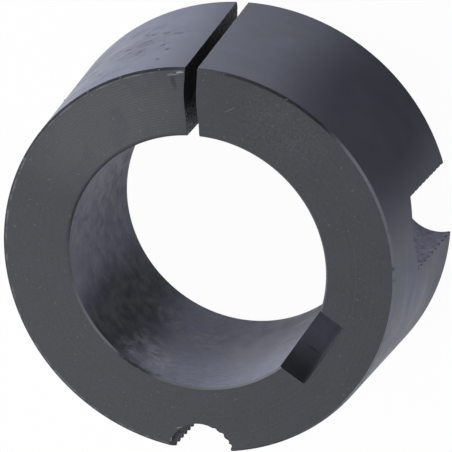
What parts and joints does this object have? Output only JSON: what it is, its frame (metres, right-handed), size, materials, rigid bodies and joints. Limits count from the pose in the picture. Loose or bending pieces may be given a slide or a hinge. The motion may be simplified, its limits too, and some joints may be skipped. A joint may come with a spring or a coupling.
{
  "type": "split taper bushing",
  "caption": "Split tapered iron bushing with a keyed bore, blind half-round clamping holes and a through jacking half-hole; it clamps a hub to a shaft.",
  "frame": {"origin": "centre of the bore at the large end face, which the bushing stands on", "axes": "+Z along the bore to the small end, +Y through the middle of the slit, the jacking half-hole at -Y"},
  "size_m": [0.057, 0.0568, 0.0254],
  "materials": {
    "phosphated_iron": "dark grey phosphate coat over turned faces, satin, with fine turning lines and small bright nicks"
  },
  "bodies": {
    "root": {"taper_bushing": "phosphated_iron"}
  },
  "joints": []
}
